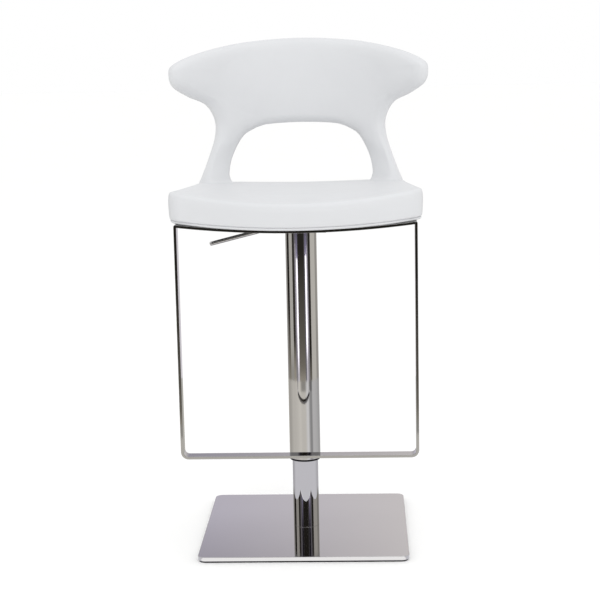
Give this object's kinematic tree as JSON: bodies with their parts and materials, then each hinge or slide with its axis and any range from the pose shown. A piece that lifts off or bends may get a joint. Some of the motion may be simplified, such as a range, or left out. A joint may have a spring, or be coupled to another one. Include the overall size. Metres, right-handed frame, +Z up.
{
  "type": "swivel counter stool",
  "caption": "Swivel counter stool on a square plate: gas-lift column, hung flat-bar footrest loop, padded seat and a winged arch backrest with an opening above the seat.",
  "frame": {"origin": "on the column's axis, at the floor under the middle of the base plate", "axes": "+Z up along the column; the sitter faces -Y; +X is at the sitter's left"},
  "size_m": [0.4972, 0.4665, 0.9748],
  "materials": {
    "mirror_steel": "mirror polish",
    "bright_steel": "ground and polished",
    "plain_steel": "turned",
    "dark_steel": "black oxide",
    "black_paint": "satin powder coat",
    "brass_cage": "turned",
    "pad_rubber": "matt",
    "black_nylon": "satin",
    "white_nylon": "satin",
    "plywood": "raw",
    "black_cloth": "non-woven",
    "white_leatherette": "leatherette, a coated cloth: smooth, fine grain"
  },
  "bodies": {
    "base": {"floor_pad": "pad_rubber", "base_plate": "mirror_steel", "column_tube": "mirror_steel", "column_foot": "plain_steel", "column_screws": "dark_steel", "column_bush": "white_nylon", "lower_race": "plain_steel"},
    "bearing": {"bearing_balls": "bright_steel", "ball_cage": "brass_cage"},
    "rod": {"upper_race": "plain_steel", "piston_rod": "bright_steel", "rod_washer": "plain_steel", "rod_clip": "dark_steel", "bump_stop": "pad_rubber", "piston": "plain_steel", "piston_ring": "pad_rubber"},
    "seat": {"pressure_tube": "black_paint", "rod_guide": "brass_cage", "rod_seal": "pad_rubber", "valve_body": "plain_steel", "outer_tube": "mirror_steel", "end_bush": "black_nylon", "taper_hub": "plain_steel", "mechanism_housing": "black_paint", "lever_bracket": "plain_steel", "pivot_pin": "bright_steel", "housing_screws": "dark_steel", "footrest_loop": "mirror_steel", "footrest_screws": "dark_steel", "seat_board": "plywood", "dust_cover": "black_cloth", "frame_sockets": "plain_steel", "socket_screws": "dark_steel", "back_frame": "black_paint", "seat_cushion": "white_leatherette", "backrest": "white_leatherette"},
    "lever": {"lever_tongue": "plain_steel", "lever_rod": "mirror_steel"},
    "valve": {"valve_pin": "bright_steel"}
  },
  "joints": [
    {"name": "swivel", "type": "hinge", "parent": "base", "child": "rod", "pos_m": [0, 0, 0.033], "axis": [0, 0, 1], "continuous": true},
    {"name": "bearing_roll", "type": "hinge", "parent": "base", "child": "bearing", "pos_m": [0, 0, 0.029], "axis": [0, 0, 1], "continuous": true},
    {"name": "lift", "type": "slide", "parent": "rod", "child": "seat", "axis": [0, 0, 1], "range_m": [-0.125, 0.09]},
    {"name": "lever_pull", "type": "hinge", "parent": "seat", "child": "lever", "pos_m": [-0.038, 0, 0.61488], "axis": [0, 1, 0], "range_deg": [0, 5], "stiffness_Nm_per_rad": 30, "springref_deg": -0.57},
    {"name": "valve_press", "type": "slide", "parent": "seat", "child": "valve", "axis": [0, 0, -1], "range_m": [0, 0.004]}
  ],
  "couplings": [
    {"joint": "bearing_roll", "follows": "swivel", "ratio": 0.5},
    {"joint": "valve_press", "follows": "lever_pull", "m_per_rad": 0.0385}
  ]
}
